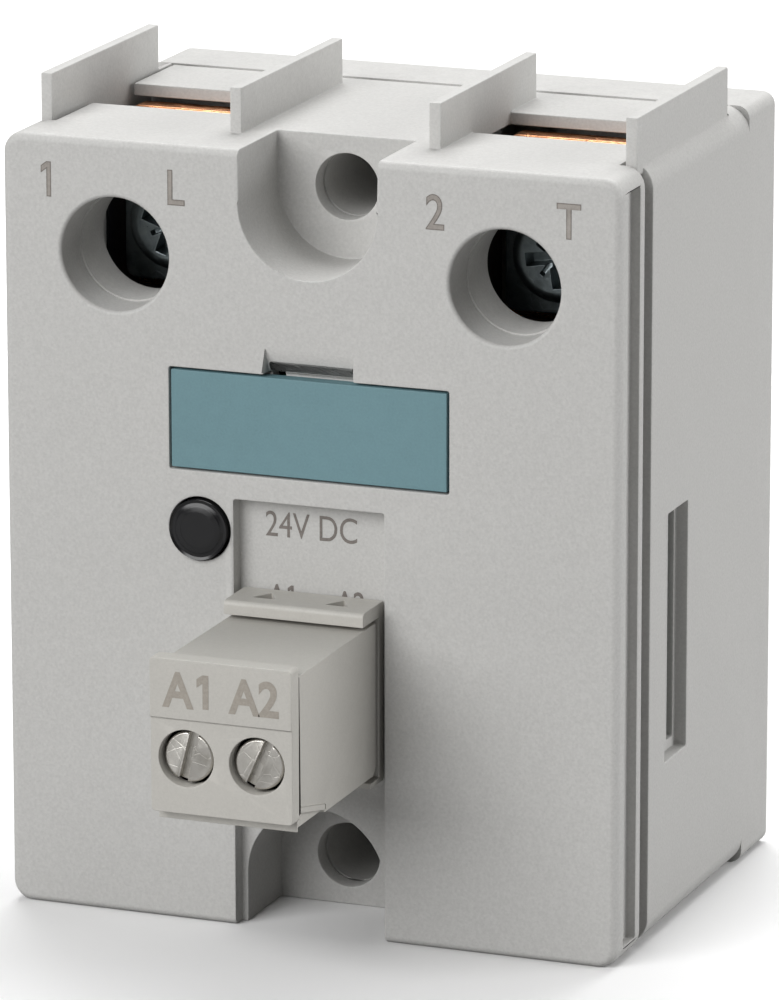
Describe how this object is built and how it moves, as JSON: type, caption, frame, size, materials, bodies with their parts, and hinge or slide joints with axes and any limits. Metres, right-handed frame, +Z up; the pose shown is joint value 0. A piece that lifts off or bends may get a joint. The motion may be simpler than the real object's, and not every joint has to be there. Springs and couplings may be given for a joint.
{
  "type": "solid state relay",
  "caption": "Panel mounted solid state relay: a moulded case on a metal base plate, screw load terminals at the top and a pull-off control plug on the front.",
  "frame": {"origin": "centre of the metal mounting face on the back", "axes": "+X to the right seen from the front, +Y out of the back towards the heat sink, +Z up towards the load terminals' wire entries"},
  "size_m": [0.045, 0.048, 0.058],
  "materials": {
    "housing_plastic": "light grey moulded plastic with a fine spark-eroded grain",
    "plug_plastic": "slightly warmer light grey moulded plastic, smooth satin",
    "label_plastic": "blue-green matt insert",
    "smoked_lens": "dark smoked translucent plastic, polished",
    "plated_metal": "bright nickel plate with fine turning marks",
    "zinc_steel": "zinc plated steel",
    "copper": "bare copper, punched edges, slightly darkened",
    "tinned_wire": "tin plated contact metal",
    "ceramic": "white alumina",
    "silicon": "dark silicon with a passivated edge",
    "potting": "soft grey silicone gel",
    "board": "green solder mask on glass epoxy",
    "black_moulding": "black glass-filled moulding",
    "capacitor_film": "dipped film capacitor",
    "varistor_coat": "blue epoxy coat",
    "resistor_coat": "blue-grey lacquer",
    "led_resin": "diffused resin"
  },
  "bodies": {
    "relay": {"base_plate": "plated_metal", "base_housing": "housing_plastic", "front_cover": "housing_plastic", "status_lens": "smoked_lens", "status_led": "led_resin", "ceramic_substrate": "ceramic", "potting_layer": "potting", "circuit_board": "board", "header_shroud": "black_moulding", "copper_track_line": "copper", "copper_track_load": "copper", "thyristor_chip_line": "silicon", "thyristor_chip_load": "silicon", "bridge_clip_line": "copper", "bridge_clip_load": "copper", "gate_pin_line": "tinned_wire", "gate_pin_load": "tinned_wire", "load_bar_line": "copper", "load_bar_load": "copper", "terminal_nut_line": "zinc_steel", "terminal_nut_load": "zinc_steel", "header_pin_a1": "tinned_wire", "header_pin_a2": "tinned_wire", "optocoupler": "black_moulding", "input_rectifier": "black_moulding", "current_regulator": "black_moulding", "snubber_capacitor": "capacitor_film", "varistor": "varistor_coat", "input_resistor": "resistor_coat", "gate_resistor": "resistor_coat", "snubber_resistor": "resistor_coat", "wire_chamber_line": "black_moulding", "wire_chamber_load": "black_moulding"},
    "label": {"label_plate": "label_plastic"},
    "clamp_line": {"clamp_plate_line": "zinc_steel"},
    "clamp_load": {"clamp_plate_load": "zinc_steel"},
    "screw_line": {"terminal_screw_line": "zinc_steel"},
    "screw_load": {"terminal_screw_load": "zinc_steel"},
    "plug": {"plug_housing": "plug_plastic", "plug_carrier": "plug_plastic", "plug_contact_a1": "tinned_wire", "plug_contact_a2": "tinned_wire"},
    "control_screw_a1": {"plug_screw_a1": "plated_metal"},
    "control_screw_a2": {"plug_screw_a2": "plated_metal"},
    "cage_a1": {"plug_cage_a1": "plated_metal"},
    "cage_a2": {"plug_cage_a2": "plated_metal"}
  },
  "joints": [
    {"name": "label_pull", "type": "slide", "parent": "relay", "child": "label", "axis": [0, -1, 0], "range_m": [0, 0.008]},
    {"name": "plug_pull", "type": "slide", "parent": "relay", "child": "plug", "axis": [0, -1, 0], "range_m": [0, 0.012]},
    {"name": "clamp_line_travel", "type": "slide", "parent": "relay", "child": "clamp_line", "axis": [0, 1, 0], "range_m": [-0.0014, 0.0021]},
    {"name": "clamp_load_travel", "type": "slide", "parent": "relay", "child": "clamp_load", "axis": [0, 1, 0], "range_m": [-0.0014, 0.0021]},
    {"name": "load_screw_line", "type": "hinge", "parent": "clamp_line", "child": "screw_line", "pos_m": [-0.01415, -0.0215, 0.01945], "axis": [0, 1, 0], "range_deg": [-721, 1081]},
    {"name": "load_screw_load", "type": "hinge", "parent": "clamp_load", "child": "screw_load", "pos_m": [0.01415, -0.0215, 0.01945], "axis": [0, 1, 0], "range_deg": [-721, 1081]},
    {"name": "control_screw_a1_turn", "type": "hinge", "parent": "plug", "child": "control_screw_a1", "pos_m": [-0.00254, -0.047, -0.0107], "axis": [0, 1, 0], "range_deg": [0, 1081]},
    {"name": "control_screw_a2_turn", "type": "hinge", "parent": "plug", "child": "control_screw_a2", "pos_m": [0.00254, -0.047, -0.0107], "axis": [0, 1, 0], "range_deg": [0, 1081]},
    {"name": "cage_a1_travel", "type": "slide", "parent": "plug", "child": "cage_a1", "axis": [0, -1, 0], "range_m": [0, 0.0015]},
    {"name": "cage_a2_travel", "type": "slide", "parent": "plug", "child": "cage_a2", "axis": [0, -1, 0], "range_m": [0, 0.0015]}
  ],
  "couplings": [
    {"joint": "load_screw_line", "follows": "clamp_line_travel", "rad_per_m": 8976},
    {"joint": "load_screw_load", "follows": "clamp_load_travel", "rad_per_m": 8976},
    {"joint": "control_screw_a1_turn", "follows": "cage_a1_travel", "rad_per_m": 12566},
    {"joint": "control_screw_a2_turn", "follows": "cage_a2_travel", "rad_per_m": 12566}
  ]
}
